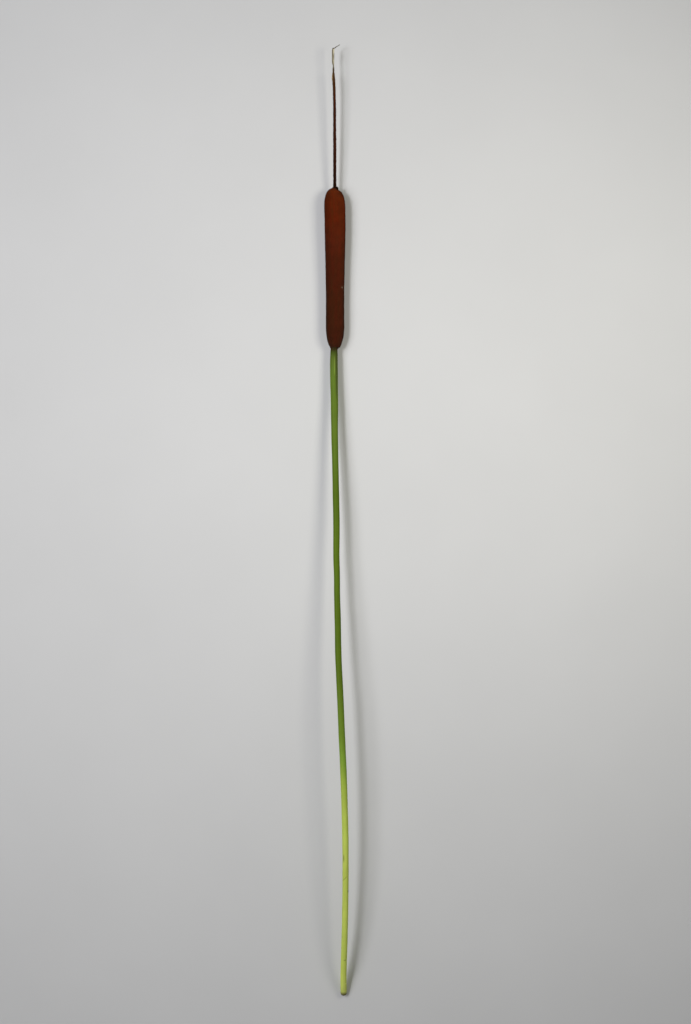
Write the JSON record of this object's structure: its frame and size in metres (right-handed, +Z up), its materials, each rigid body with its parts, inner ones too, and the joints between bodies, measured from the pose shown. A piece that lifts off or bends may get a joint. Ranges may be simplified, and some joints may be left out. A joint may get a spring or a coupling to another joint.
{
  "type": "cattail stalk",
  "caption": "Cut cattail stalk lying down: felt-like brown seed head on a long arched green stem, with a bare male spike and a withered tip, for dry or fresh arrangements.",
  "frame": {"origin": "on the surface that the stalk lies on, under the middle of its bounding box", "axes": "+Y along the stalk from the cut end to the withered tip, +Z up from the surface, +X to the right when looking down with the tip ahead"},
  "size_m": [0.0244, 0.9464, 0.0384],
  "materials": {
    "stem": "smooth green plant skin, dark olive under the seed head to pale yellow-green at the cut end",
    "seed_felt": "dense velvety red-brown seed felt, matt",
    "male_spike": "dark red-brown dry axis, rough and knobbly",
    "withered_tip": "pale straw, dry and papery",
    "bract": "nearly black dried bract, matt"
  },
  "bodies": {
    "root": {"stem": "stem", "seed_head": "seed_felt", "male_spike": "male_spike", "withered_tip": "withered_tip", "bract_stub": "bract"}
  },
  "joints": []
}
